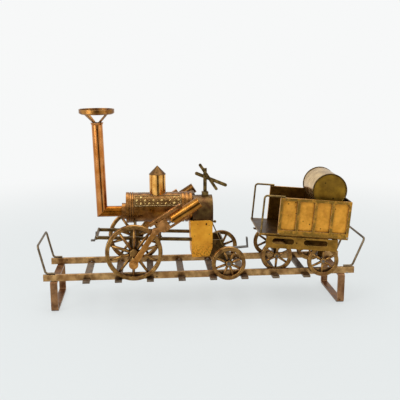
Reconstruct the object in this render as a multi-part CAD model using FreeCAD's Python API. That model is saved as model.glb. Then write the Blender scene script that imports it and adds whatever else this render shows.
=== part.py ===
import FreeCAD, Part
import math
import os

# Model steam locomotive with its tender on a short display track. Millimetres, +Z up.
# Length is measured from the middle of the two end stands; export moves it to the frame's origin.
# "Near" is the -Y side and "far" is the +Y side. The chimney end is the front, at -X.
V = FreeCAD.Vector
SIDES = {"near": -1, "far": 1}

# Display track
stand_spacing = 400.0
rail_gauge = 78.0
rail_width = 4.5
rail_height = 9.0
rail_bottom = 43.0
left_rail_overhang = 14.0
right_rail_overhang = 18.5
strip_width = 9.6
strip_thickness = 3.0
sleeper_count = 8
left_sleeper_gap = 44.8
right_sleeper_gap = 52.45
sleeper_overhang = 14.0
stand_corner = 5.0
wire_radius = 1.5
loop_height = 92.5
loop_bend = 4.5
left_loop_foot = 3.5
right_loop_foot = 2.5
left_loop_lean = 9.0
right_loop_lean = 16.0
rail_left_x = -stand_spacing / 2 - left_rail_overhang
rail_right_x = stand_spacing / 2 + right_rail_overhang
first_sleeper_x = -stand_spacing / 2 + left_sleeper_gap
last_sleeper_x = stand_spacing / 2 - right_sleeper_gap
sleeper_pitch = (last_sleeper_x - first_sleeper_x) / (sleeper_count - 1)
left_loop_x = rail_left_x + left_loop_foot
right_loop_x = rail_right_x - right_loop_foot
loop_left_x = left_loop_x - left_loop_lean
loop_right_x = right_loop_x + right_loop_lean
frame_shift = -(loop_left_x + loop_right_x) / 2
sleeper_top = rail_bottom + strip_thickness
rail_outer = (rail_gauge + rail_width) / 2
strip_length = 2 * (rail_outer + sleeper_overhang)
nest_clearance = 0.25

# Tubes and boiler
boiler_z = 135.0
boiler_radius = 20.3
boiler_wall = 1.2
boiler_front_x = -98.5
boiler_rear_x = -8.0
hoop_thickness = 1.3
hoop_radius = boiler_radius + hoop_thickness
flue_radius = 7.5
collar_step = 3.9
tube_wall = 0.9
flue_z = 130.0
chimney_x = -134.2
chimney_lean = 1.5
chimney_top_z = 254.5
crown_radius = 24.0
crown_gap = 11.5
crown_height = 6.8
crown_bottom_z = chimney_top_z + crown_gap
crown_x = chimney_x - (chimney_top_z - flue_z) * math.tan(math.radians(chimney_lean))
strut_width = 4.2
dome_x = -56.2
dome_radius = 11.4
dome_top_z = 182.0
dome_cap_height = 12.0

# Firebox and ash box
firebox_length = 28.5
firebox_half_width = 20.0
firebox_rise = 16.2
firebox_top = boiler_z + firebox_rise
firebox_bottom = 112.0
casing_front_x = -12.0
casing_rear_x = 19.4
casing_bottom = 66.0
casing_top = 119.0
casing_half_width = 22.0
casing_chamfer = 14.0
casing_corner = (casing_rear_x - 4.5, casing_bottom + 1.0)
sheet = 1.2
fit_gap = 0.3

# Loco frame and wheels
frame_bar_y = 22.0
frame_bar_height = 4.2
frame_bar_width = 4.0
frame_front = (-140.5, 98.0)
beam_thickness = 2.4
beam_half_height = 2.6
frame_rear = (casing_front_x + 2.0, 92.6)
tread_width = 5.6
wheel_inner_y = rail_outer + 1.4
wheel_outer_y = wheel_inner_y + tread_width
drive_radius = 38.6
rear_radius = 23.4
drive_spokes = 10
drive_hub_radius = 5.4
rear_spokes = 8
rear_hub_radius = 4.2
hub_step = 0.8
rim_depth = 5.4
flange_extra = 0.5
axle_radius = 2.5
running_clearance = 0.05
gap_half = (sleeper_pitch - strip_width) / 2


def nest_height(radius):
    """Axle height of a wheel that has dropped into the gap between two sleepers."""
    return sleeper_top + math.sqrt((radius + flange_extra + nest_clearance) ** 2 - gap_half ** 2)


def gap_centre(index):
    """Middle of the gap after the sleeper with this index, counted from zero."""
    return first_sleeper_x + (index + 0.5) * sleeper_pitch


drive_axle = (gap_centre(1), nest_height(drive_radius))
rear_axle = (gap_centre(4), nest_height(rear_radius))

# Slider and crank, worked in the plane y = rod_y
rod_y = wheel_outer_y + 3.55
rod_thickness = 3.2
crank_radius = 14.5
crank_angle = -92.0
stroke_angle = 32.5
boss_before_firebox = 52.925
boss_below_boiler = 22.43
crank_pin_radius = 1.5
crank_pin_depth = 2.0
crank_boss_radius = 6.2
crank_boss_depth = 4.0
big_end_hole = 2.65
big_end_radius = 6.4
boss_radius = 4.7
fork_half = 3.1
crosshead_end = 21.0
piston_rod_radius = 1.5
cylinder_radius = 7.5
cylinder_offset = 1.15
cylinder_start = 29.5
cylinder_end = 71.5
slide_bar_depth = 5.2
slide_bar_inner = cylinder_offset + cylinder_radius + 0.05
slide_bar_offset = slide_bar_inner + slide_bar_depth
lower_bar_offset = -5.2
lower_bar_depth = 2.2
boss = (boiler_rear_x - boss_before_firebox, boiler_z - boss_below_boiler)
crank_pin = (drive_axle[0] + crank_radius * math.cos(math.radians(crank_angle)),
             drive_axle[1] + crank_radius * math.sin(math.radians(crank_angle)))

# Regulator post with its two loose levers
post_x = 10.7
post_base_top = firebox_top + 4.8
post_top_z = post_base_top + 33.5
post_width = 5.0
post_thickness = 2.0
lever_thickness = 1.5
lever_pin_radius = 0.8
upper_lever = {"pivot_z": post_top_z - 5.9, "angle": -56.3, "short": 12.6, "long": 28.3, "width": 4.2}
lower_lever = {"pivot_z": post_top_z - 12.8, "angle": -22.7, "short": 12.7, "long": 31.6, "width": 4.8}

# Tender: built level about its own origin, then tipped nose-up and turned a little
tender_origin = (stand_spacing / 2 - 60.0, 0.0, sleeper_top + 54.6)
tender_pitch = 4.6
tender_yaw = -1.5
tender_width = 92.0
body_front = -32.3
body_rear = 67.0
body_bottom = 1.4
body_top = 51.2
footplate_front = -57.0
chassis_front = -47.7
chassis_rear = 52.5
chassis_top = -2.6
chassis_bottom = -19.0
chassis_sheet = 1.5
panel_count = 4
panel_frame = 3.6
panel_depth = 2.4
tender_radius = 21.8
tender_spokes = 6
tender_tread = 4.0
front_wheels = (-27.7, -34.3)
rear_wheels = (35.9, -34.6)
wheel_side_step = 5.4
tender_wheel_span = rail_gauge + 4.0
chassis_half_width = tender_wheel_span / 2 + 8.5
rail_wire_radius = 1.35
barrel_rim = 1.5
barrel_dish = 1.2
lid_thickness = 2.2
inner_plate_y = 25.0
barrel_x = 37.5
barrel_z = 62.6
barrel_radius = 24.2
barrel_length = 65.0


def box(x0, x1, y0, y1, z0, z1):
    return Part.makeBox(x1 - x0, y1 - y0, z1 - z0, V(x0, y0, z0))


def rod(radius, start, end):
    axis = V(*end) - V(*start)
    return Part.makeCylinder(radius, axis.Length, V(*start), axis)


def tube(outer, inner, start, end):
    axis = V(*end) - V(*start)
    reach = axis.normalize() * 1.0
    bore = rod(inner, V(*start) - reach, V(*end) + reach)
    return rod(outer, start, end).cut(bore)


def prism_y(points, y0, y1):
    """Extrudes an outline of (x, z) points from y0 to y1."""
    corners = [V(x, y0, z) for x, z in points]
    face = Part.Face(Part.makePolygon(corners + corners[:1]))
    return face.extrude(V(0, y1 - y0, 0))


def prism_x(points, x0, x1):
    """Extrudes an outline of (y, z) points from x0 to x1."""
    corners = [V(x0, y, z) for y, z in points]
    face = Part.Face(Part.makePolygon(corners + corners[:1]))
    return face.extrude(V(x1 - x0, 0, 0))


def bar_xz(start, end, height, y0, y1):
    """Straight bar from start to end in the XZ plane, height across, from y0 to y1."""
    dx = end[0] - start[0]
    dz = end[1] - start[1]
    length = math.hypot(dx, dz)
    nx = -dz / length * height / 2
    nz = dx / length * height / 2
    corners = [(start[0] + nx, start[1] + nz), (end[0] + nx, end[1] + nz),
               (end[0] - nx, end[1] - nz), (start[0] - nx, start[1] - nz)]
    return prism_y(corners, y0, y1)


def eye_bar(start, end, half_width, y0, y1):
    """Flat bar with two round ends."""
    bar = bar_xz(start, end, 2 * half_width, y0, y1)
    for point in (start, end):
        bar = bar.fuse(rod(half_width, (point[0], y0, point[1]), (point[0], y1, point[1])))
    return bar.removeSplitter()


def group(shapes):
    return Part.makeCompound(shapes)


def both(make):
    """Near and far twins in one node."""
    return group([make(side) for side in SIDES.values()])


def mirrored(shape, side):
    """Near-side shape as it is, or its far-side twin."""
    return shape if side < 0 else shape.mirror(V(0, 0, 0), V(0, 1, 0))


def wire_path(points, bend, radius):
    """Round wire along points, every corner bent to the same radius."""
    points = [V(*p) for p in points]
    edges = []
    last = points[0]
    for before, corner, after in zip(points, points[1:], points[2:]):
        inward = (before - corner).normalize()
        outward = (after - corner).normalize()
        half = inward.getAngle(outward) / 2
        reach = bend / math.tan(half)
        start = corner + inward * reach
        end = corner + outward * reach
        middle_line = (inward + outward).normalize()
        centre = corner + middle_line * (bend / math.sin(half))
        edges.append(Part.LineSegment(last, start).toShape())
        edges.append(Part.Arc(start, centre - middle_line * bend, end).toShape())
        last = end
    edges.append(Part.LineSegment(last, points[-1]).toShape())
    path = Part.Wire(edges)
    circle = Part.Wire(Part.makeCircle(radius, points[0], points[1] - points[0]))
    return path.makePipeShell([circle], True, False)


def spoked_wheel(radius, spokes, first_angle, hub_radius, bore, y0, y1, hub_out, spoke_width):
    """Wheel at the XZ origin between y0 and y1; hub_out is how far the hub stands out at y0."""
    thick = y1 - y0
    rim = tube(radius, radius - rim_depth, (0, y0, 0), (0, y1, 0))
    rim = rim.fuse(tube(radius + flange_extra, radius - rim_depth, (0, y1 - thick * 0.28, 0), (0, y1, 0)))
    wheel = rim.fuse(rod(hub_radius, (0, y0 - hub_out, 0), (0, y1 + 0.4, 0)))
    for i in range(spokes):
        angle = math.radians(first_angle + i * 360.0 / spokes)
        inner = (hub_radius * 0.5 * math.cos(angle), hub_radius * 0.5 * math.sin(angle))
        outer = ((radius - rim_depth / 2) * math.cos(angle), (radius - rim_depth / 2) * math.sin(angle))
        wheel = wheel.fuse(bar_xz(inner, outer, spoke_width, y0 + thick * 0.2, y0 + thick * 0.7))
    if bore:
        wheel = wheel.cut(rod(bore, (0, y0 - 5, 0), (0, y1 + 5, 0)))
    return wheel.removeSplitter()


# display track


def sleeper_positions():
    return [first_sleeper_x + i * sleeper_pitch for i in range(sleeper_count)]


def strip_notch(x):
    half = strip_width / 2
    return box(x - half, x + half, -60, 60, rail_bottom - 1, sleeper_top)


def rail(side):
    y = side * rail_gauge / 2
    bar = box(rail_left_x, rail_right_x, y - rail_width / 2, y + rail_width / 2,
              rail_bottom, rail_bottom + rail_height)
    for x in sleeper_positions():
        bar = bar.cut(strip_notch(x))
    return bar.makeChamfer(0.4, [e for e in bar.Edges if e.Length > stand_spacing])


def sleepers():
    half = strip_length / 2
    strips = []
    for x in sleeper_positions():
        strips.append(box(x - strip_width / 2, x + strip_width / 2, -half, half, rail_bottom, sleeper_top))
    return group(strips)


def stand(x):
    """Closed frame of flat strip, rounded at its corners, its top strip soldered under the rails."""
    half = rail_outer + strip_thickness
    outer = box(x - strip_width / 2, x + strip_width / 2, -half, half, 0, rail_bottom)
    inner = box(x - strip_width / 2 - 1, x + strip_width / 2 + 1, -half + strip_thickness,
                half - strip_thickness, strip_thickness, rail_bottom - strip_thickness)
    outer = outer.makeFillet(stand_corner, [e for e in outer.Edges if along_x(e)])
    inner = inner.makeFillet(stand_corner - strip_thickness, [e for e in inner.Edges if along_x(e)])
    return outer.cut(inner)


def along_x(edge):
    start, end = edge.Vertexes[0].Point, edge.Vertexes[-1].Point
    return abs(start.y - end.y) < 1e-6 and abs(start.z - end.z) < 1e-6


def end_loop(base_x, top_x):
    """Wire hoop standing on both rails and leaning outwards."""
    y = rail_gauge / 2
    direction = 1 if top_x > base_x else -1
    foot_x = base_x - direction * 12.5
    z = rail_bottom + rail_height + wire_radius
    points = [(foot_x, -y, z), (base_x, -y, z), (top_x, -y, loop_height),
              (top_x, y, loop_height), (base_x, y, z), (foot_x, y, z)]
    return wire_path(points, loop_bend, wire_radius)


def build_track():
    stands = [stand(-stand_spacing / 2), stand(stand_spacing / 2)]
    loops = [end_loop(left_loop_x, loop_left_x), end_loop(right_loop_x, loop_right_x)]
    return {"rails": both(rail), "sleepers": sleepers(), "end_stands": group(stands), "end_loops": group(loops)}


# locomotive frame


def frame_bars():
    bars = []
    for sign in SIDES.values():
        y = sign * frame_bar_y
        bar = bar_xz(frame_front, frame_rear, frame_bar_height,
                     y - frame_bar_width / 2, y + frame_bar_width / 2)
        bars.append(bar.cut(casing_block()).cut(front_beam()))
    return group(bars)


def front_beam():
    x, z = frame_front
    half = frame_bar_y + frame_bar_width / 2
    return box(x - beam_thickness, x, -half, half, z - beam_half_height, z + beam_half_height)


def front_hook():
    x, z = frame_front[0] - beam_thickness, frame_front[1]
    top = z + beam_half_height
    outline = [(x, top), (x, z - 1.0), (x - 2.6, z - 10.5), (x - 8.6, z - 10.5),
               (x - 8.6, z - 8.7), (x - 4.2, z - 8.7), (x - 1.8, z - 1.0), (x - 1.8, top)]
    return prism_y(outline, -3, 3)


def hornplates():
    """Four strips that hang from the frame and carry the drive axle, with plain round bearings."""
    x, z = drive_axle
    plates = []
    for sign in SIDES.values():
        y = sign * (frame_bar_y + frame_bar_width / 2)
        y0, y1 = sorted((y, y + sign * 2.0))
        top = frame_front[1] + 0.6
        plate = prism_y([(x - 5, z - 6), (x + 5, z - 6), (x + 7, top), (x - 7, top)], y0, y1)
        plates.append(plate.cut(rod(axle_radius + running_clearance, (x, y0 - 1, z), (x, y1 + 1, z))))
    return group(plates)


def rear_carrier():
    """Bent plate behind the firebox that carries the rear axle."""
    ax, az = rear_axle
    half = casing_half_width - 2
    low_x, low_z = casing_corner
    outline = [(casing_rear_x, az + 27), (casing_rear_x + 15.4, az + 27), (casing_rear_x + 16, az + 5.2),
               (ax + 6.5, az + 5), (ax + 6.5, az - 5.5), (ax - 6, az - 5.5), (low_x, low_z),
               (casing_rear_x, casing_bottom + casing_chamfer)]
    plate = prism_y(outline, -half, half)
    hollow = box(low_x - 1, casing_rear_x + 13.6, -half + 2, half - 2, az - 10, az + 40)
    back = box(casing_rear_x + 10, ax + 20, -half + 2, half - 2, az - 10, az + 5)
    plate = plate.cut(hollow).cut(back)
    return plate.cut(rod(axle_radius + running_clearance, (ax, -half - 1, az), (ax, half + 1, az)))


def rear_hook():
    ax, az = rear_axle
    wall = casing_rear_x + 15.9
    z = az + 8.0
    outline = [(wall, z + 1.1), (ax + 31.6, z + 3.6), (ax + 30.6, z + 16.5), (ax + 32.9, z + 16.5),
               (ax + 34.0, z + 1.4), (wall, z - 1.1)]
    return prism_y(outline, -2.5, 2.5).cut(rear_carrier())


# boiler, chimney and dome


def boiler_shell():
    shell = tube(boiler_radius, boiler_radius - boiler_wall, (boiler_front_x, 0, boiler_z),
                 (boiler_rear_x, 0, boiler_z))
    cap = rod(boiler_radius - boiler_wall, (boiler_rear_x - 1.5, 0, boiler_z), (boiler_rear_x, 0, boiler_z))
    shell = shell.fuse(cap)
    return shell.cut(rod(dome_radius - tube_wall, (dome_x, 0, boiler_z), (dome_x, 0, dome_top_z)))


def boiler_hoops():
    """Three narrow hoops at the front and three broad ones at the back."""
    rings = []
    spans = [(boiler_front_x + offset, 2.2) for offset in (0.0, 3.1, 6.2)]
    spans += [(boiler_rear_x - offset, 3.2) for offset in (15.0, 9.5, 4.0)]
    for x, width in spans:
        rings.append(tube(hoop_radius, boiler_radius, (x, 0, boiler_z), (x + width, 0, boiler_z)))
    return group(rings)


def boiler_front_plate():
    """Round end plate with the stepped collar that holds the flue."""
    back = boiler_front_x
    plate = rod(hoop_radius, (back - 2.0, 0, boiler_z), (back, 0, boiler_z))
    plate = plate.fuse(rod(flue_radius + collar_step, (back - 8.0, 0, flue_z), (back - 1.0, 0, flue_z)))
    plate = plate.cut(rod(flue_radius, (back - 9, 0, flue_z), (back - 2.0, 0, flue_z)))
    return plate.cut(rod(flue_radius - tube_wall, (back - 3, 0, flue_z), (back + 1, 0, flue_z)))


def chimney_direction():
    lean = math.radians(chimney_lean)
    return V(-math.sin(lean), 0, math.cos(lean))


def mitre_half_space():
    """Big block on the boiler side of the mitre where the two tubes meet."""
    turn = (90.0 + chimney_lean) / 2
    block = Part.makeBox(400, 100, 200, V(-200, -50, 0))
    block.rotate(V(0, 0, 0), V(0, 1, 0), 180 - turn)
    block.translate(V(chimney_x, 0, flue_z))
    return block


def flue_pipe():
    pipe = tube(flue_radius, flue_radius - tube_wall, (chimney_x - 20, 0, flue_z),
                (boiler_front_x - 2.0, 0, flue_z))
    probe = V(boiler_front_x - 5, 0, flue_z + flue_radius - tube_wall / 2)
    return half_of(pipe, probe)


def chimney_pipe():
    up = chimney_direction()
    base = V(chimney_x, 0, flue_z)
    length = (chimney_top_z - flue_z) / up.z
    pipe = tube(flue_radius, flue_radius - tube_wall, base - up * 20, base + up * length)
    return half_of(pipe, base + up * (length - 1) + V(flue_radius - tube_wall / 2, 0, 0))


def half_of(pipe, probe):
    """The part of a mitred pipe that holds the probe point."""
    block = mitre_half_space()
    kept = pipe.common(block)
    if not kept.BoundBox.isInside(probe):
        kept = pipe.cut(block)
    return kept


def chimney_lip():
    up = chimney_direction()
    base = V(chimney_x, 0, flue_z)
    length = (chimney_top_z - flue_z) / up.z
    low = base + up * (length - 3.2)
    flare = Part.makeCone(flue_radius + 0.1, flue_radius + 1.4, 3.2, low, up)
    return flare.cut(rod(flue_radius, low - up, low + up * 5))


def crown_ring():
    z = crown_bottom_z
    axis = V(0, 0, 1)
    centre = V(crown_x, 0, z)
    band = Part.makeCylinder(crown_radius, crown_height - 1.6, centre + V(0, 0, 1.6), axis)
    foot = Part.makeCone(crown_radius - 2.4, crown_radius, 1.6, centre, axis)
    hole = Part.makeCylinder(crown_radius - 1.6, crown_height, centre + V(0, 0, 1.6), axis)
    taper = Part.makeCone(crown_radius - 4.0, crown_radius - 1.6, 1.6, centre, axis)
    return band.fuse(foot).cut(hole).cut(taper)


def crown_struts():
    """Four flat strips that hold the crown above the chimney."""
    up = chimney_direction()
    top = V(chimney_x, 0, flue_z) + up * ((chimney_top_z - flue_z) / up.z)
    bore = flue_radius - tube_wall - 0.03
    seat = math.sqrt(bore ** 2 - (strut_width / 2) ** 2) - 0.5
    struts = []
    for i in range(4):
        turn = math.radians(45 + 90 * i)
        out = V(math.cos(turn), math.sin(turn), 0)
        low = top + out * seat - up * 4.5
        knee = top + out * seat + up * 0.6
        high = V(crown_x, 0, crown_bottom_z + 1.0) + out * (crown_radius - 3.6)
        struts.append(strip_between(low, knee, out).fuse(strip_between(knee, high, out)))
    return group(struts)


def strip_between(start, end, out):
    """Flat strip whose width runs around the chimney."""
    across = V(0, 0, 1).cross(out).normalize()
    along = end - start
    depth = across.cross(along).normalize()
    side = across * strut_width
    corner = start - side * 0.5 - depth * 0.5
    points = [corner, corner + side, corner + side + depth, corner + depth]
    face = Part.Face(Part.makePolygon(points + points[:1]))
    return face.extrude(along * (1 + 0.4 / along.Length))


def dome_tube():
    pipe = tube(dome_radius, dome_radius - tube_wall, (dome_x, 0, boiler_z + 10), (dome_x, 0, dome_top_z))
    return pipe.cut(rod(boiler_radius, (boiler_front_x, 0, boiler_z), (boiler_rear_x, 0, boiler_z)))


def dome_cap():
    cone = Part.makeCone(dome_radius + 0.6, 0.4, dome_cap_height, V(dome_x, 0, dome_top_z), V(0, 0, 1))
    spigot = rod(dome_radius - tube_wall - 0.1, (dome_x, 0, dome_top_z - 3), (dome_x, 0, dome_top_z))
    return cone.fuse(spigot)


def relief_bands():
    """Two curved plates with a raised border, one along each upper side of the boiler."""
    inner, outer = boiler_radius, boiler_radius + 0.9
    x0, x1 = boiler_front_x + 9.0, boiler_rear_x - 15.5
    ring = tube(outer, inner, (x0, 0, boiler_z), (x1, 0, boiler_z))
    rim = tube(outer + 0.7, inner, (x0, 0, boiler_z), (x1, 0, boiler_z))
    rim = rim.cut(tube(outer + 2, outer, (x0 + 1.6, 0, boiler_z), (x1 - 1.6, 0, boiler_z)))
    bands = []
    for sign in SIDES.values():
        plate = ring.common(wedge(sign, 14, 62, x0, x1))
        border = rim.common(wedge(sign, 14, 62, x0, x1))
        rails = tube(outer + 0.7, outer, (x0, 0, boiler_z), (x1, 0, boiler_z))
        low = rails.common(wedge(sign, 14, 17.5, x0, x1))
        high = rails.common(wedge(sign, 58.5, 62, x0, x1))
        band = plate.fuse(border).fuse(low).fuse(high)
        band = band.cut(rod(dome_radius, (dome_x, 0, boiler_z), (dome_x, 0, dome_top_z)))
        bands.append(band.removeSplitter())
    return group(bands)


def wedge(sign, low, high, x0, x1):
    """Block between two angles above the horizontal, seen from the boiler's axis."""
    reach = 60
    points = [(0, boiler_z)]
    for angle in (low, high):
        turn = math.radians(angle)
        points.append((sign * reach * math.cos(turn), boiler_z + reach * math.sin(turn)))
    return prism_x(points, x0 - 1, x1 + 1)


def boiler_saddles():
    """Two cross plates that seat the boiler on the frame bars."""
    plates = []
    top = frame_front[1] + 1
    for x in (boiler_front_x + 8.6, boiler_front_x + 44):
        share = (x - frame_front[0]) / (frame_rear[0] - frame_front[0])
        seat = frame_front[1] + share * (frame_rear[1] - frame_front[1]) + frame_bar_height / 2
        points = [(-frame_bar_y - 1.5, seat), (frame_bar_y + 1.5, seat), (13, boiler_z - 14),
                  (-13, boiler_z - 14)]
        plate = prism_x(points, x, x + 2.0)
        plates.append(plate.cut(rod(boiler_radius, (x - 5, 0, boiler_z), (x + 5, 0, boiler_z))))
    return group(plates)


# firebox


def arch_outline(half, bottom, top):
    side_top = top - half
    left = [V(0, -half, bottom), V(0, -half, side_top)]
    arc = Part.Arc(left[1], V(0, 0, top), V(0, half, side_top)).toShape()
    edges = [Part.LineSegment(left[0], left[1]).toShape(), arc,
             Part.LineSegment(V(0, half, side_top), V(0, half, bottom)).toShape(),
             Part.LineSegment(V(0, half, bottom), left[0]).toShape()]
    return Part.Face(Part.Wire(edges))


def firebox_shell():
    """Round-topped box behind the boiler; its lower edge stands inside the bright casing."""
    outer = arch_outline(firebox_half_width, firebox_bottom, firebox_top).extrude(V(firebox_length, 0, 0))
    inner = arch_outline(firebox_half_width - sheet, firebox_bottom - 1, firebox_top - sheet)
    inner = inner.extrude(V(firebox_length - 2 * sheet, 0, 0))
    inner.translate(V(sheet, 0, 0))
    shell = outer.cut(inner)
    shell.translate(V(boiler_rear_x, 0, 0))
    return shell


def casing_block():
    """Outer shape of the sheet box around the grate, filled in."""
    x0, x1 = casing_front_x, casing_rear_x
    outline = [(x0 + 2.5, casing_bottom), casing_corner, (x1, casing_bottom + casing_chamfer),
               (x1, casing_top - 3), (x1 - 3, casing_top), (x0, casing_top)]
    return prism_y(outline, -casing_half_width, casing_half_width)


def firebox_casing():
    """Bright sheet box around the grate, hollow and closed below."""
    x0, x1 = casing_front_x, casing_rear_x
    half = casing_half_width
    solid = casing_block()
    hollow = prism_y([(x0 + 2.5 + sheet, casing_bottom + sheet), (x1 - 4.5 - sheet, casing_bottom + 1 + sheet),
                      (x1 - sheet, casing_bottom + casing_chamfer), (x1 - sheet, casing_top + 2),
                      (x0 + sheet, casing_top + 2)], -half + sheet, half - sheet)
    neck = arch_outline(firebox_half_width, firebox_bottom, firebox_top).extrude(V(firebox_length, 0, 0))
    neck.translate(V(boiler_rear_x, 0, 0))
    boiler = rod(hoop_radius, (boiler_front_x, 0, boiler_z), (boiler_rear_x, 0, boiler_z))
    casing = solid.cut(hollow).cut(neck).cut(boiler)
    return max(casing.Solids, key=lambda s: s.Volume)


def grate():
    """Loose-looking row of fire bars inside the casing."""
    z = casing_bottom + 16
    x0, x1 = casing_front_x + 3.4, casing_rear_x - 1.8
    half = casing_half_width - sheet
    bars = []
    for i in range(6):
        y = -half + 4 + i * (2 * half - 8) / 5
        bars.append(box(x0, x1, y - 0.8, y + 0.8, z, z + 2))
    cross = box(x0 + 10, x0 + 12, -half, half, z - 1.5, z)
    return group(bars + [cross])


def drain_knob():
    x, z = boiler_rear_x + firebox_length, 115.0
    return rod(1.2, (x, -12, z), (x + 2.0, -12, z)).fuse(Part.makeSphere(2.0, V(x + 3.2, -12, z)))


def stay_rods():
    """Thin rods from the firebox down to the rear carrier's cheeks, one on each side."""
    rods = []
    for sign in SIDES.values():
        y = sign * (casing_half_width - 2.0 + 0.7)
        stay = rod(0.7, (casing_rear_x - 1.0, y, firebox_bottom + 4.0), (casing_rear_x + 14.5, y, rear_axle[1] + 18))
        rods.append(stay.cut(casing_block()))
    return group(rods)


def regulator_post():
    """Flat upright on a block that is shaped to the firebox top."""
    half = post_width / 2
    post = box(post_x - half, post_x + half, -post_thickness / 2, post_thickness / 2,
               post_base_top - 1, post_top_z).fuse(post_base()).removeSplitter()
    for lever in (upper_lever, lower_lever):
        z = lever["pivot_z"]
        post = post.cut(rod(lever_pin_radius, (post_x, -5, z), (post_x, 5, z)))
    return post


def post_base():
    block = box(post_x - 4.5, post_x + 4.5, -4.5, 4.5, boiler_z + 12, post_base_top)
    dome = arch_outline(firebox_half_width, firebox_bottom, firebox_top).extrude(V(firebox_length, 0, 0))
    dome.translate(V(boiler_rear_x, 0, 0))
    return block.cut(dome)


def lever_pins():
    """Rivets through the post, headed outside each lever."""
    pins = []
    reach = post_thickness / 2 + fit_gap + lever_thickness + fit_gap
    for lever, sign in ((upper_lever, -1), (lower_lever, 1)):
        z = lever["pivot_z"]
        shank = rod(lever_pin_radius, (post_x, -sign * 1.0, z), (post_x, sign * (reach + 0.6), z))
        y0, y1 = sorted((sign * reach, sign * (reach + 0.8)))
        pins.append(shank.fuse(rod(1.7, (post_x, y0, z), (post_x, y1, z))))
    return group(pins)


def lever(spec, sign):
    turn = math.radians(spec["angle"])
    z = spec["pivot_z"]
    short = (post_x - spec["short"] * math.cos(turn), z - spec["short"] * math.sin(turn))
    far_end = (post_x + spec["long"] * math.cos(turn), z + spec["long"] * math.sin(turn))
    near_face = post_thickness / 2 + fit_gap
    y0, y1 = sorted((sign * near_face, sign * (near_face + lever_thickness)))
    bar = eye_bar(short, far_end, spec["width"] / 2, y0, y1)
    return bar.cut(rod(lever_pin_radius + running_clearance, (post_x, -6, z), (post_x, 6, z)))


# cylinders and motion


def stroke_point(along, across=0.0):
    """Point in the plane of the motion: along the stroke from the boss, and across it."""
    turn = math.radians(stroke_angle)
    x = boss[0] + along * math.cos(turn) - across * math.sin(turn)
    z = boss[1] + along * math.sin(turn) + across * math.cos(turn)
    return x, z


def on_stroke(along, across=0.0, y=-rod_y):
    x, z = stroke_point(along, across)
    return (x, y, z)


def stroke_bar(start, end, low, high, y0, y1):
    """Bar along the stroke between two distances across it."""
    middle = (low + high) / 2
    return bar_xz(stroke_point(start, middle), stroke_point(end, middle), high - low, y0, y1)


def cylinder(side):
    inner = cylinder_radius - tube_wall
    lift = cylinder_offset
    barrel = tube(cylinder_radius, inner, on_stroke(cylinder_start, lift), on_stroke(cylinder_end - 1.5, lift))
    head = rod(cylinder_radius, on_stroke(cylinder_end - 1.5, lift), on_stroke(cylinder_end, lift))
    gland = rod(cylinder_radius, on_stroke(cylinder_start - 1.2, lift), on_stroke(cylinder_start, lift))
    gland = gland.fuse(rod(3.2, on_stroke(cylinder_start - 4.0), on_stroke(cylinder_start - 1.2)))
    guide = rod(piston_rod_radius + running_clearance, on_stroke(cylinder_start - 6), on_stroke(cylinder_start + 1))
    return mirrored(barrel.fuse(head).fuse(gland.cut(guide)).removeSplitter(), side)


def cylinder_envelope():
    lift = cylinder_offset
    return rod(cylinder_radius, on_stroke(cylinder_start - 1.2, lift), on_stroke(cylinder_end, lift))


def cylinder_brackets():
    """Two round spacers on each side that carry the cylinder off the boiler and firebox."""
    spacers = []
    for sign in SIDES.values():
        for along in (cylinder_start + 8, cylinder_end - 5.5):
            x, z = stroke_point(along)
            spacer = rod(3.0, (x, -rod_y, z), (x, -firebox_half_width + 6, z)).cut(cylinder_envelope())
            spacer = spacer.cut(rod(boiler_radius, (boiler_front_x, 0, boiler_z), (boiler_rear_x, 0, boiler_z)))
            arch = arch_outline(firebox_half_width, firebox_bottom, firebox_top)
            arch = arch.extrude(V(firebox_length, 0, 0))
            arch.translate(V(boiler_rear_x, 0, 0))
            spacer = spacer.cut(arch)
            spacer = max(spacer.Solids, key=lambda s: s.Volume)
            spacers.append(mirrored(spacer, sign))
    return group(spacers)


def slide_bars(side):
    """Upper guide plate with a top flange, and the lower guide strip, both on the cylinder."""
    web = stroke_bar(-2.6, 48.3, slide_bar_inner, slide_bar_offset, -rod_y - 1.4, -rod_y + 0.2)
    flange = stroke_bar(-2.6, 48.3, slide_bar_offset - 1.2, slide_bar_offset, -rod_y - 3.0,
                        -wheel_outer_y - fit_gap)
    upper = web.fuse(flange).removeSplitter()
    lower = stroke_bar(8.6, 49.5, lower_bar_offset - lower_bar_depth, lower_bar_offset,
                       -rod_y - 3.0, -rod_y + 3.0).cut(cylinder_envelope())
    return mirrored(group([upper, lower]), side)


def crosshead(side):
    """Guide block with a fork, on the end of the piston rod."""
    low = lower_bar_offset + fit_gap
    block = stroke_bar(6.2, crosshead_end, low, slide_bar_inner - fit_gap, -rod_y - fork_half, -rod_y + fork_half)
    fork_gap = rod_thickness / 2 + fit_gap
    head = block
    for y0, y1 in ((-rod_y - fork_half, -rod_y - fork_gap), (-rod_y + fork_gap, -rod_y + fork_half)):
        cheek = rod(boss_radius, (boss[0], y0, boss[1]), (boss[0], y1, boss[1]))
        head = head.fuse(cheek.fuse(stroke_bar(0, 7, -3.4, 3.4, y0, y1)))
    pin = rod(crank_pin_radius, (boss[0], -rod_y - fork_half - 0.7, boss[1]), (boss[0], -rod_y + fork_half, boss[1]))
    return mirrored(head.fuse(pin).removeSplitter(), side)


def piston_rod(side):
    stem = rod(piston_rod_radius, on_stroke(crosshead_end), on_stroke(cylinder_start + 14))
    piston = rod(cylinder_radius - tube_wall - running_clearance,
                 on_stroke(cylinder_start + 14, cylinder_offset), on_stroke(cylinder_start + 19, cylinder_offset))
    return mirrored(stem.fuse(piston), side)


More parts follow.
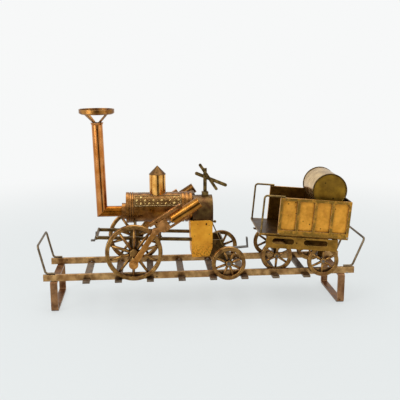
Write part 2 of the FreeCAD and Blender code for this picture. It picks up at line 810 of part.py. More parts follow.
def connecting_rod(side):
    y0, y1 = -rod_y - rod_thickness / 2, -rod_y + rod_thickness / 2
    length = math.hypot(crank_pin[0] - boss[0], crank_pin[1] - boss[1])
    ux, uz = (crank_pin[0] - boss[0]) / length, (crank_pin[1] - boss[1]) / length
    outline = []
    for along, half in ((0, 3.1), (length, 4.1), (length, -4.1), (0, -3.1)):
        outline.append((boss[0] + ux * along - uz * half, boss[1] + uz * along + ux * half))
    bar = prism_y(outline, y0, y1)
    bar = bar.fuse(rod(boss_radius - 0.2, (boss[0], y0, boss[1]), (boss[0], y1, boss[1])))
    bar = bar.fuse(rod(big_end_radius, (crank_pin[0], y0, crank_pin[1]), (crank_pin[0], y1, crank_pin[1])))
    bar = bar.cut(rod(crank_pin_radius + running_clearance, (boss[0], y0 - 1, boss[1]), (boss[0], y1 + 1, boss[1])))
    bar = bar.cut(rod(big_end_hole, (crank_pin[0], y0 - 1, crank_pin[1]), (crank_pin[0], y1 + 1, crank_pin[1])))
    return mirrored(bar.removeSplitter(), side)


def crank_pins():
    """Pins fixed in the drive wheels, each with a keeper washer outside the rod."""
    pins = []
    x, z = crank_pin
    for sign in SIDES.values():
        face = rod_y + rod_thickness / 2 + fit_gap
        shank = rod(crank_pin_radius, (x, -wheel_outer_y + crank_pin_depth, z), (x, -face - 1.6, z))
        shoulder = rod(3.6, (x, -wheel_outer_y, z), (x, -rod_y + rod_thickness / 2 + fit_gap, z))
        washer = rod(big_end_hole + 1.5, (x, -face - 0.8, z), (x, -face, z))
        pins.append(mirrored(shank.fuse(shoulder).fuse(washer).removeSplitter(), sign))
    return group(pins)


def drive_wheel(side):
    face = -wheel_outer_y
    wheel = spoked_wheel(drive_radius, drive_spokes, crank_angle, drive_hub_radius, axle_radius,
                         face, -wheel_inner_y, hub_step, 3.6)
    px, pz = crank_pin[0] - drive_axle[0], crank_pin[1] - drive_axle[1]
    web = bar_xz((0, 0), (px, pz), 2 * crank_boss_radius - 3.0, face + 0.6, face + crank_boss_depth)
    wheel = wheel.fuse(web.cut(rod(axle_radius, (0, face - 1, 0), (0, face + 6, 0))))
    wheel = wheel.fuse(rod(crank_boss_radius, (px, face, pz), (px, face + crank_boss_depth, pz)))
    wheel = wheel.cut(rod(crank_pin_radius, (px, face - 1, pz), (px, face + crank_pin_depth, pz)))
    wheel.translate(V(drive_axle[0], 0, drive_axle[1]))
    return mirrored(wheel.removeSplitter(), side)


def axle(centre, half_length):
    return rod(axle_radius, (centre[0], -half_length, centre[1]), (centre[0], half_length, centre[1]))


def rear_wheel(side):
    wheel = spoked_wheel(rear_radius, rear_spokes, 20, rear_hub_radius, axle_radius,
                         -wheel_outer_y, -wheel_inner_y, hub_step, 2.8)
    wheel.translate(V(rear_axle[0], 0, rear_axle[1]))
    return mirrored(wheel, side)


def build_locomotive():
    nodes = {"frame_bars": frame_bars(), "front_beam": front_beam(), "hornplates": hornplates(),
             "rear_carrier": rear_carrier(), "coupling_hooks": group([front_hook(), rear_hook()]),
             "boiler_shell": boiler_shell(), "boiler_front_plate": boiler_front_plate(),
             "boiler_saddles": boiler_saddles(), "flue_pipe": flue_pipe(),
             "chimney_pipe": chimney_pipe(), "chimney_lip": chimney_lip(), "crown_struts": crown_struts(),
             "crown_ring": crown_ring(), "dome_tube": dome_tube(), "dome_cap": dome_cap(),
             "relief_bands": relief_bands(), "firebox_shell": firebox_shell(),
             "firebox_casing": firebox_casing(), "grate": grate(), "drain_knob": drain_knob(),
             "stay_rods": stay_rods(), "regulator_post": regulator_post(),
             "lever_pins": lever_pins(), "upper_lever": lever(upper_lever, -1),
             "lower_lever": lever(lower_lever, 1), "cylinder_brackets": cylinder_brackets(),
             "crank_pins": crank_pins(), "drive_axle": axle(drive_axle, wheel_outer_y + 0.4),
             "rear_axle": axle(rear_axle, wheel_outer_y + 1.6)}
    nodes["boiler_hoops"] = boiler_hoops()
    nodes["cylinders"] = both(cylinder)
    nodes["slide_bars"] = both(slide_bars)
    nodes["drive_wheels"] = both(drive_wheel)
    nodes["rear_wheels"] = both(rear_wheel)
    for side, sign in SIDES.items():
        nodes[side + "_crosshead"] = crosshead(sign)
        nodes[side + "_piston_rod"] = piston_rod(sign)
        nodes[side + "_connecting_rod"] = connecting_rod(sign)
    return nodes


# tender, level and about its own origin


def tender_floor():
    half = tender_width / 2
    plate = box(chassis_front - 1.0, body_rear, -half, half, body_bottom - 4.0, body_bottom - 1.4)
    step = box(footplate_front, chassis_front - 1.0, -half, half, body_bottom - 4.0, body_bottom - 1.4)
    return plate.fuse(step).removeSplitter()


def side_wall(side):
    """Sheet side with a soldered border and uprights that leave four sunk panels."""
    outer = tender_width / 2
    sheet_in = outer - panel_depth
    z0, z1 = body_bottom - 1.4, body_top
    wall = box(body_front, body_rear, -outer, -sheet_in + 1.2, z0, z1)
    step = (body_rear - body_front - panel_frame) / panel_count
    for i in range(panel_count):
        x0 = body_front + panel_frame + i * step
        wall = wall.cut(box(x0, x0 + step - panel_frame, -outer - 1, -sheet_in, z0 + panel_frame + 2.4,
                            z1 - panel_frame))
    return mirrored(wall, side)


def rear_wall():
    half = tender_width / 2 - panel_depth - 1.2
    return box(body_rear - 1.4, body_rear, -half, half, body_bottom - 1.4, body_top)


def slot(x0, x1, z0, z1, y0, y1):
    radius = (z1 - z0) / 2
    return eye_bar((x0 + radius, z0 + radius), (x1 - radius, z0 + radius), radius, y0, y1)


def chassis_plate(side):
    y0, y1 = -chassis_half_width, -chassis_half_width + chassis_sheet
    plate = box(chassis_front, chassis_rear, y0, y1, chassis_bottom, chassis_top)
    for x0, x1 in ((-39.0, -8.5), (5.0, 38.5)):
        plate = plate.cut(slot(x0, x1, chassis_bottom + 6.2, chassis_top - 2.4, y0 - 1, y1 + 1))
    return mirrored(plate, side)


def chassis_members():
    """Cross strips that join the chassis plates, and the hangers that carry the axles."""
    inner = chassis_half_width - chassis_sheet
    parts = []
    for x in (chassis_front + 0.2, 2.0, chassis_rear - 6.2):
        parts.append(box(x, x + 6.0, -inner, inner, chassis_top - 2.0, chassis_top))
    for sign in SIDES.values():
        y0, y1 = sorted((sign * (inner_plate_y + 0.8), sign * (inner_plate_y - 0.8)))
        plate = box(chassis_front + 7, chassis_rear - 7, y0, y1, chassis_bottom - 2, chassis_top - 2)
        for x, z in (front_wheels, rear_wheels):
            plate = plate.fuse(box(x - 3.5, x + 3.5, y0, y1, z - 4, chassis_top - 2))
            plate = plate.cut(rod(axle_radius - 0.5 + running_clearance, (x, y0 - 1, z), (x, y1 + 1, z)))
        parts.append(plate.removeSplitter())
    return group(parts)


def handrail(side):
    """Bent wire from the footplate's corner up and back to the top of the side wall."""
    y = -tender_width / 2 + rail_wire_radius
    front = footplate_front + rail_wire_radius + 0.5
    points = [(front, y, body_bottom - 1.4), (front + 0.6, y, body_top + rail_wire_radius),
              (body_front + 6.0, y, body_top + rail_wire_radius)]
    return mirrored(wire_path(points, 4.0, rail_wire_radius), side)


def drawbar():
    """Flat strip under the footplate with an upright pin hole for the engine's hook."""
    bar = box(chassis_front - 11.0, chassis_front + 20.0, -3.5, 3.5, chassis_top - 3.2, chassis_top - 2.0)
    return bar.cut(rod(1.6, (chassis_front - 7.0, 0, chassis_top - 8), (chassis_front - 7.0, 0, chassis_top)))


def barrel_shell():
    half = barrel_length / 2
    return tube(barrel_radius - 0.7, barrel_radius - 1.9, (barrel_x, -half + lid_thickness, barrel_z),
                (barrel_x, half - lid_thickness, barrel_z))


def barrel_ends():
    """Two dished lids with a raised rim."""
    lids = []
    half = barrel_length / 2
    for sign in SIDES.values():
        rim = rod(barrel_radius, (barrel_x, -half, barrel_z), (barrel_x, -half + lid_thickness, barrel_z))
        recess = rod(barrel_radius - barrel_rim, (barrel_x, -half - 1, barrel_z),
                     (barrel_x, -half + barrel_dish, barrel_z))
        lids.append(mirrored(rim.cut(recess), sign))
    return group(lids)


def barrel_cradles():
    """Two shaped boards across the coal space that hold the barrel."""
    half = tender_width / 2 - panel_depth - 1.2
    boards = []
    barrel = rod(barrel_radius, (barrel_x, -50, barrel_z), (barrel_x, 50, barrel_z))
    for x in (barrel_x - 16.0, barrel_x + 14.0):
        board = box(x, x + 2.0, -half, half, body_bottom - 1.4, barrel_z - 13.0)
        boards.append(board.cut(barrel))
    return group(boards)


def barrel_tap():
    """Small hooked outlet on the back of the rear wall."""
    z = body_top - 1.5
    points = [(body_rear, 18, z), (body_rear + 4.0, 18, z), (body_rear + 4.0, 18, z - 5.0)]
    return wire_path(points, 1.8, 0.9)


def tender_wheelset(centre, lateral):
    """Axle with two wheels; the whole set sits off-centre by the lateral step."""
    x, z = centre
    half = tender_wheel_span / 2
    bore = axle_radius - 0.5
    wheels = []
    for sign in SIDES.values():
        wheel = spoked_wheel(tender_radius, tender_spokes, 30, 3.6, bore, -half, -half + tender_tread, 0.6, 2.6)
        wheel = mirrored(wheel, sign)
        wheel.translate(V(x, lateral, z))
        wheels.append(wheel)
    shaft = rod(bore, (x, lateral - half - 1.2, z), (x, lateral + half + 1.2, z))
    return group(wheels), shaft


def build_tender():
    front_pair, front_shaft = tender_wheelset(front_wheels, wheel_side_step)
    rear_pair, rear_shaft = tender_wheelset(rear_wheels, -wheel_side_step)
    nodes = {"tender_floor": tender_floor(), "tender_rear_wall": rear_wall(),
             "tender_side_walls": both(side_wall), "tender_chassis_plates": both(chassis_plate),
             "tender_chassis_members": chassis_members(), "tender_handrails": both(handrail),
             "tender_drawbar": drawbar(), "barrel_shell": barrel_shell(), "barrel_ends": barrel_ends(),
             "barrel_cradles": barrel_cradles(), "barrel_tap": barrel_tap(),
             "tender_front_wheels": front_pair, "tender_front_axle": front_shaft,
             "tender_rear_wheels": rear_pair, "tender_rear_axle": rear_shaft}
    placement = FreeCAD.Placement(V(*tender_origin), FreeCAD.Rotation(tender_yaw, tender_pitch, 0))
    for shape in nodes.values():
        shape.Placement = placement.multiply(shape.Placement)
    return nodes


def main():
    os.makedirs("parts", exist_ok=True)
    for build in (build_track, build_locomotive, build_tender):
        for name, shape in build().items():
            shape = shape.copy()
            shape.translate(V(frame_shift, 0, 0))
            shape.exportStep("parts/" + name + ".step")
            if not shape.isValid():
                print("invalid solid:", name)


main()
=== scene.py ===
import math

import bmesh
import bpy
from mathutils import Matrix, Vector


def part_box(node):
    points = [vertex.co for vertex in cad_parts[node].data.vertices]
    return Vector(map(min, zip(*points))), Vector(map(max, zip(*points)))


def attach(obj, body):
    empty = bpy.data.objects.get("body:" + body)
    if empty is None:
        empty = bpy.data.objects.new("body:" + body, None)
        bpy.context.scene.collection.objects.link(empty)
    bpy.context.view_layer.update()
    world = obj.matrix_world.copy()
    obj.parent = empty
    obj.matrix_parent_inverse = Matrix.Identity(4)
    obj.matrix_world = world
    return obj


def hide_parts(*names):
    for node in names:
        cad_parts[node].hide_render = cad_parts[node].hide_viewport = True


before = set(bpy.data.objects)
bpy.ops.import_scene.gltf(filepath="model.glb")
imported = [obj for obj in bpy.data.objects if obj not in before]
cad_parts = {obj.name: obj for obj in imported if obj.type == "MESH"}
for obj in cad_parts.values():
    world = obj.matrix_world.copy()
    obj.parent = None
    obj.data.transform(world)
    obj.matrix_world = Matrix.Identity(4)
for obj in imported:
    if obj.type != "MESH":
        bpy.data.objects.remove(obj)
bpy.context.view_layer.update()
print("frame loaded:", len(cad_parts), "nodes")


def mm(value):
    return value / 1000.0


# the main camera, in millimetres and degrees
viewpoint = {"place": (-75.45, -885.4, 330.3), "turn": 4.7, "down": 11.86, "roll": 0.12, "lens": 57.6}


def placeCamera():
    turn, down, roll = (math.radians(viewpoint[key]) for key in ("turn", "down", "roll"))
    ahead = Vector((math.sin(turn) * math.cos(down), math.cos(turn) * math.cos(down), -math.sin(down)))
    right = Vector((math.cos(turn), -math.sin(turn), 0.0))
    up = right.cross(ahead)
    tilt = Matrix.Rotation(roll, 3, ahead)
    right, up = tilt @ right, tilt @ up
    data = bpy.data.cameras.new("camera")
    data.lens = viewpoint["lens"]
    data.sensor_width = 36.0
    data.clip_start, data.clip_end = 0.05, 60.0
    camera = bpy.data.objects.new("camera", data)
    bpy.context.scene.collection.objects.link(camera)
    axes = Matrix((right, up, -ahead)).transposed().to_4x4()
    camera.matrix_world = Matrix.Translation([mm(v) for v in viewpoint["place"]]) @ axes
    bpy.context.scene.camera = camera


placeCamera()
print("camera placed")


def linearColour(hexText):
    channels = [int(hexText[i:i + 2], 16) / 255.0 for i in (1, 3, 5)]
    return tuple(c / 12.92 if c <= 0.04045 else ((c + 0.055) / 1.055) ** 2.4 for c in channels) + (1.0,)


def addNode(tree, kind, settings=None, links=None):
    node = tree.nodes.new(kind)
    for key, value in (settings or {}).items():
        if isinstance(key, str) and hasattr(node, key):
            setattr(node, key, value)
        else:
            node.inputs[key].default_value = value
    for key, socket in (links or {}).items():
        tree.links.new(socket, node.inputs[key])
    return node


def multiply(tree, one, other):
    return addNode(tree, "ShaderNodeMath", {"operation": "MULTIPLY"}, {0: one, 1: other})


# soft boxes: where each stands, its size and power; all look at the middle of the model
studio = {
    "left": {"place": (-1.25, -0.95, 0.75), "size": (0.7, 1.5), "power": 16.0},
    "right": {"place": (1.35, -0.80, 0.80), "size": (0.5, 1.4), "power": 6.0},
    "top": {"place": (0.1, 0.25, 1.6), "size": (1.6, 1.2), "power": 17.0},
    "floorColour": "#CFD3D4",
    "paperGlow": "#E1E5E5",
    "glowShare": 0.74,
    "backdrop": "#F7F8F8",
    "leftWall": 0.90,
    "rightWall": 0.56,
    "unlitWall": 0.06,
    "paperEdge": (0.26, 1.15),
}


def lightStudio():
    aim = Vector((0.0, 0.0, 0.12))
    for name in ("left", "right", "top"):
        box = studio[name]
        data = bpy.data.lights.new(name + "SoftBox", "AREA")
        data.shape = "RECTANGLE"
        data.size, data.size_y = box["size"]
        data.energy = box["power"]
        lamp = bpy.data.objects.new(name + "SoftBox", data)
        bpy.context.scene.collection.objects.link(lamp)
        lamp.location = box["place"]
        lamp.rotation_euler = (aim - Vector(box["place"])).to_track_quat("-Z", "Y").to_euler()


def unlitSide(tree, direction):
    # 1 towards the unlit end of the room, 0 elsewhere
    split = addNode(tree, "ShaderNodeSeparateXYZ", links={0: direction})
    return addNode(tree, "ShaderNodeMapRange", {"From Min": -0.992, "From Max": -0.935, "To Min": 1.0,
                                                "To Max": 0.0, "interpolation_type": "SMOOTHSTEP"},
                   {"Value": split.outputs["Y"]}), split


def layFloor():
    floorMesh = bpy.data.meshes.new("floor")
    reach = 9.0
    floorMesh.from_pydata([(-reach, -reach, 0), (reach, -reach, 0), (reach, reach, 0), (-reach, reach, 0)],
                          [], [(0, 1, 2, 3)])
    floor = bpy.data.objects.new("floor", floorMesh)
    bpy.context.scene.collection.objects.link(floor)
    floor.location.z = -0.0002
    paper = bpy.data.materials.new("whitePaper")
    paper.use_nodes = True
    tree = paper.node_tree
    shader = tree.nodes["Principled BSDF"]
    shader.inputs["Base Color"].default_value = linearColour(studio["floorColour"])
    shader.inputs["Roughness"].default_value = 0.6
    shader.inputs["Specular IOR Level"].default_value = 0.2
    coord = addNode(tree, "ShaderNodeTexCoord")
    away = addNode(tree, "ShaderNodeVectorMath", {"operation": "LENGTH"}, {0: coord.outputs["Object"]})
    # the paper's colour blends into the bright backdrop, well away from the model
    near, far = studio["paperEdge"]
    sweep = addNode(tree, "ShaderNodeMapRange", {"From Min": near, "From Max": far,
                                                 "interpolation_type": "SMOOTHSTEP"},
                    {"Value": away.outputs["Value"]})
    tone = addNode(tree, "ShaderNodeMix", {"data_type": "RGBA"}, {0: sweep.outputs["Result"]})
    tone.inputs[6].default_value = linearColour(studio["paperGlow"])
    tone.inputs[7].default_value = linearColour(studio["backdrop"])
    glow = addNode(tree, "ShaderNodeEmission", {"Strength": 1.0}, {"Color": tone.outputs[2]})
    share = addNode(tree, "ShaderNodeMapRange", {"To Min": studio["glowShare"]},
                    {"Value": sweep.outputs["Result"]})
    lit = addNode(tree, "ShaderNodeMixShader", links={0: share.outputs["Result"], 1: shader.outputs[0],
                                                      2: glow.outputs[0]})
    # what the tubes mirror at the unlit end of the table is dark
    direction = addNode(tree, "ShaderNodeVectorMath", {"operation": "NORMALIZE"},
                        {0: coord.outputs["Object"]})
    shade, _ = unlitSide(tree, direction.outputs["Vector"])
    path = addNode(tree, "ShaderNodeLightPath")
    glowFade = addNode(tree, "ShaderNodeMapRange", {"From Min": 0.22, "From Max": 0.42,
                                                    "interpolation_type": "SMOOTHSTEP"},
                       {"Value": away.outputs["Value"]})
    both = multiply(tree, shade.outputs["Result"], glowFade.outputs["Result"])
    mirrored = multiply(tree, both.outputs[0], path.outputs["Is Glossy Ray"])
    dark = addNode(tree, "ShaderNodeEmission",
                   {"Color": (0.9, 0.85, 0.8, 1), "Strength": studio["unlitWall"]})
    mix = addNode(tree, "ShaderNodeMixShader", links={0: mirrored.outputs[0], 1: lit.outputs[0],
                                                      2: dark.outputs[0]})
    tree.links.new(mix.outputs[0], tree.nodes["Material Output"].inputs["Surface"])
    floorMesh.materials.append(paper)


def makeRoom():
    world = bpy.data.worlds.new("room")
    bpy.context.scene.world = world
    world.use_nodes = True
    tree = world.node_tree
    tree.nodes.clear()
    coord = addNode(tree, "ShaderNodeTexCoord")
    shade, split = unlitSide(tree, coord.outputs["Generated"])
    walls = addNode(tree, "ShaderNodeMapRange", {"From Min": -0.8, "From Max": 0.8,
                                                 "To Min": studio["leftWall"], "To Max": studio["rightWall"]},
                    {"Value": split.outputs["X"]})
    strength = addNode(tree, "ShaderNodeMix", {3: studio["unlitWall"]}, {0: shade.outputs["Result"],
                                                                         2: walls.outputs["Result"]})
    room = addNode(tree, "ShaderNodeBackground", {"Color": (1, 1, 1, 1)}, {"Strength": strength.outputs[0]})
    paper = addNode(tree, "ShaderNodeBackground",
                    {"Color": linearColour(studio["backdrop"]), "Strength": 1.0})
    path = addNode(tree, "ShaderNodeLightPath")
    mix = addNode(tree, "ShaderNodeMixShader", links={0: path.outputs["Is Camera Ray"], 1: room.outputs[0],
                                                      2: paper.outputs[0]})
    addNode(tree, "ShaderNodeOutputWorld", links={"Surface": mix.outputs[0]})


bpy.context.scene.view_settings.view_transform = "Standard"
lightStudio()
layFloor()
makeRoom()
print("studio lit")

# tender's own axes: it stands nose-up and turned on the track
tenderSeat = {"place": (133.75, 0.0, 100.6), "tilt": 4.6, "turn": -1.5}


def seatCoordinates(tree, coord):
    # the tender's own axes, in metres
    turned = addNode(tree, "ShaderNodeMapping", {"vector_type": "TEXTURE"},
                     {"Vector": coord.outputs["Object"]})
    turned.inputs["Location"].default_value = [mm(v) for v in tenderSeat["place"]]
    turned.inputs["Rotation"].default_value = (0.0, math.radians(tenderSeat["tilt"]),
                                               math.radians(tenderSeat["turn"]))
    return addNode(tree, "ShaderNodeSeparateXYZ", links={0: turned.outputs["Vector"]})


def between(tree, value, low, high):
    return addNode(tree, "ShaderNodeMapRange", {"From Min": mm(low), "From Max": mm(high)}, {"Value": value})


def layOver(tree, factor, under, hexText):
    mix = addNode(tree, "ShaderNodeMix", {"data_type": "RGBA"}, {0: factor, 6: under})
    mix.inputs[7].default_value = linearColour(hexText)
    return mix.outputs[2]


wallLayers = {"frame": "#8A6A2E", "inside": "#1C0D05", "proud": (44.4, 45.2), "hidden": (42.9, 42.3)}


def paintTenderWall(tree, coord, result):
    # dull olive border standing proud of golden panels, and the inside painted nearly black as painted shade
    seat = seatCoordinates(tree, coord)
    side = addNode(tree, "ShaderNodeMath", {"operation": "ABSOLUTE"}, {0: seat.outputs["Y"]})
    proud = between(tree, side.outputs[0], *wallLayers["proud"])
    hidden = between(tree, side.outputs[0], *wallLayers["hidden"])
    mottle = addNode(tree, "ShaderNodeTexNoise", {"Scale": 160.0, "Detail": 4.0},
                     {"Vector": coord.outputs["Object"]})
    worn = addNode(tree, "ShaderNodeMapRange", {"From Min": 0.62, "From Max": 0.45, "To Min": 0.45},
                   {"Value": mottle.outputs["Fac"]})
    share = multiply(tree, proud.outputs["Result"], worn.outputs["Result"])
    result = layOver(tree, share.outputs[0], result, wallLayers["frame"])
    # painted shade: the inner faces of the walls turn nearly black
    return layOver(tree, hidden.outputs["Result"], result, wallLayers["inside"])


def shadeTenderInside(tree, coord, result):
    # the coal space inside the walls is painted nearly black: painted shade in the recess
    seat = seatCoordinates(tree, coord)
    side = addNode(tree, "ShaderNodeMath", {"operation": "ABSOLUTE"}, {0: seat.outputs["Y"]})
    inner = between(tree, side.outputs[0], 44.0, 42.0)
    high = between(tree, seat.outputs["Z"], -1.5, 0.5)
    both = multiply(tree, inner.outputs["Result"], high.outputs["Result"])
    return layOver(tree, both.outputs[0], result, wallLayers["inside"])


casingMarks = {"stain": "#7C4A1C", "dot": "#2A160A", "dotPlace": (4.4, -22.0, 113.5), "dotSize": (1.3, 1.0)}


def stainCasing(tree, coord, result):
    # brown speckle that thickens towards the bottom edge, and one burnt spot near the top
    split = addNode(tree, "ShaderNodeSeparateXYZ", links={0: coord.outputs["Object"]})
    low = between(tree, split.outputs["Z"], 90.0, 64.0)
    flecks = addNode(tree, "ShaderNodeTexNoise", {"Scale": 520.0, "Detail": 3.0},
                     {"Vector": coord.outputs["Object"]})
    cut = addNode(tree, "ShaderNodeMapRange", {"From Min": 0.50, "From Max": 0.60, "To Max": 0.8},
                  {"Value": flecks.outputs["Fac"]})
    share = multiply(tree, low.outputs["Result"], cut.outputs["Result"])
    result = layOver(tree, share.outputs[0], result, casingMarks["stain"])
    spot = addNode(tree, "ShaderNodeVectorMath", {"operation": "DISTANCE"}, {0: coord.outputs["Object"]})
    spot.inputs[1].default_value = [mm(v) for v in casingMarks["dotPlace"]]
    dot = between(tree, spot.outputs["Value"], *casingMarks["dotSize"])
    return layOver(tree, dot.outputs["Result"], result, casingMarks["dot"])


barrelMarks = {"centre": (37.5, 62.6), "bead": "#4A3414", "rim": (22.4, 22.8)}


def darkenLidBead(tree, coord, result):
    # the raised bead round the lid is nearly black with handling
    seat = seatCoordinates(tree, coord)
    flat = addNode(tree, "ShaderNodeCombineXYZ", links={0: seat.outputs["X"], 1: seat.outputs["Z"]})
    away = addNode(tree, "ShaderNodeVectorMath", {"operation": "DISTANCE"}, {0: flat.outputs[0]})
    away.inputs[1].default_value = [mm(v) for v in barrelMarks["centre"]] + [0.0]
    bead = between(tree, away.outputs["Value"], *barrelMarks["rim"])
    return layOver(tree, bead.outputs["Result"], result, barrelMarks["bead"])


farCylinderShade = {"shadeColour": "#5C3E1E", "most": 0.85}


def shadeFarCylinder(tree, coord, result):
    # the far cylinder is painted darker than the near one: painted shade on the far copy
    split = addNode(tree, "ShaderNodeSeparateXYZ", links={0: coord.outputs["Object"]})
    far = between(tree, split.outputs["Y"], -5.0, 5.0)
    most = addNode(tree, "ShaderNodeMath", {"operation": "MULTIPLY", 1: farCylinderShade["most"]},
                   {0: far.outputs["Result"]})
    return layOver(tree, most.outputs[0], result, farCylinderShade["shadeColour"])


# how far the painted corner shade and grime reach out of a corner and wear runs in from an edge, in
# millimetres
shadeAndWear = {"cornerShadeAndGrimeReach": 5.0, "edgeReach": 0.6}


def coatMetal(name, look, marks=None):
    material = bpy.data.materials.new(name)
    material.use_nodes = True
    tree = material.node_tree
    tree.nodes.clear()
    coord = addNode(tree, "ShaderNodeTexCoord")
    where = coord.outputs["Object"]
    blotch = addNode(tree, "ShaderNodeTexNoise", {"Scale": 1000.0 / look["blotchMm"], "Detail": 5.0,
                                                  "Roughness": 0.62}, {"Vector": where})
    tone = addNode(tree, "ShaderNodeMapRange", {"From Min": 0.36, "From Max": 0.64},
                   {"Value": blotch.outputs["Fac"]})
    colour = addNode(tree, "ShaderNodeMix", {"data_type": "RGBA"}, {0: tone.outputs["Result"]})
    colour.inputs[6].default_value = linearColour(look["dark"])
    colour.inputs[7].default_value = linearColour(look["light"])
    result = colour.outputs[2]
    # warmer heat-tinted clouds, from soldering
    cloud = addNode(tree, "ShaderNodeTexNoise", {"Scale": 1000.0 / (look["blotchMm"] * 2.7), "Detail": 3.0,
                                                 "Distortion": 0.6}, {"Vector": coord.outputs["Object"]})
    tintMask = addNode(tree, "ShaderNodeMapRange", {"From Min": 0.52, "From Max": 0.68,
                                                    "To Max": look.get("tintAmount", 0.5)},
                       {"Value": cloud.outputs["Fac"]})
    tint = addNode(tree, "ShaderNodeMix", {"data_type": "RGBA"}, {0: tintMask.outputs["Result"], 6: result})
    tint.inputs[7].default_value = linearColour(look["tint"])
    result = tint.outputs[2]
    # dark specks of tarnish
    cells = addNode(tree, "ShaderNodeTexVoronoi", {"Scale": 1000.0 / look.get("speckMm", 6.0)},
                    {"Vector": where})
    speckShape = addNode(tree, "ShaderNodeMapRange", {"From Min": 0.10, "From Max": 0.24, "To Min": 1.0,
                                                      "To Max": 0.0}, {"Value": cells.outputs["Distance"]})
    chance = addNode(tree, "ShaderNodeSeparateColor", links={0: cells.outputs["Color"]})
    chosen = addNode(tree, "ShaderNodeMath", {"operation": "LESS_THAN", 1: look.get("speckShare", 0.2)},
                     {0: chance.outputs[0]})
    speck = multiply(tree, speckShape.outputs["Result"], chosen.outputs[0])
    spotted = addNode(tree, "ShaderNodeMix", {"data_type": "RGBA"}, {0: speck.outputs[0], 6: result})
    spotted.inputs[7].default_value = linearColour(look["soilAndShade"])
    result = spotted.outputs[2]
    if marks:
        result = marks(tree, coord, result)
    # painted shade and grime in corners: where the ambient occlusion finds a corner, the colour is darkened
    # towards the soil colour
    shelter = addNode(tree, "ShaderNodeAmbientOcclusion",
                      {"samples": 6, "Distance": mm(shadeAndWear["cornerShadeAndGrimeReach"])})
    cornerShadeAndGrime = addNode(tree, "ShaderNodeMapRange", {"From Min": 0.35, "From Max": 0.85,
                                                 "To Min": look.get("cornerShadeAndGrimeAmount", 0.75), "To Max": 0.0},
                    {"Value": shelter.outputs["AO"]})
    shadedAndSoiled = addNode(tree, "ShaderNodeMix", {"data_type": "RGBA"}, {0: cornerShadeAndGrime.outputs["Result"], 6: result})
    shadedAndSoiled.inputs[7].default_value = linearColour(look["soilAndShade"])
    result = shadedAndSoiled.outputs[2]
    # handled edges rub bright
    rounded = addNode(tree, "ShaderNodeBevel", {"samples": 4, "Radius": mm(shadeAndWear["edgeReach"])})
    shape = addNode(tree, "ShaderNodeNewGeometry")
    facing = addNode(tree, "ShaderNodeVectorMath", {"operation": "DOT_PRODUCT"},
                     {0: rounded.outputs[0], 1: shape.outputs["Normal"]})
    edge = addNode(tree, "ShaderNodeMapRange", {"From Min": 0.985, "From Max": 0.80, "To Min": 0.0,
                                                "To Max": look.get("edgeAmount", 0.6)},
                   {"Value": facing.outputs["Value"]})
    rubbed = addNode(tree, "ShaderNodeMix", {"data_type": "RGBA"}, {0: edge.outputs["Result"], 6: result})
    rubbed.inputs[7].default_value = linearColour(look["edge"])
    result = rubbed.outputs[2]
    grain = addNode(tree, "ShaderNodeTexNoise", {"Scale": 1000.0 / look.get("grainMm", 2.0), "Detail": 4.0},
                    {"Vector": where})
    gloss = addNode(tree, "ShaderNodeMapRange", {"From Min": 0.3, "From Max": 0.7,
                                                 "To Min": look["smooth"], "To Max": look["rough"]},
                    {"Value": blotch.outputs["Fac"]})
    bump = addNode(tree, "ShaderNodeBump", {"Strength": look.get("bumpAmount", 0.25), "Distance": mm(0.4)},
                   {"Height": grain.outputs["Fac"], "Normal": rounded.outputs[0]})
    shader = addNode(tree, "ShaderNodeBsdfPrincipled", {"Metallic": 1.0},
                     {"Base Color": result, "Roughness": gloss.outputs["Result"], "Normal": bump.outputs[0]})
    addNode(tree, "ShaderNodeOutputMaterial", links={"Surface": shader.outputs[0]})
    return material
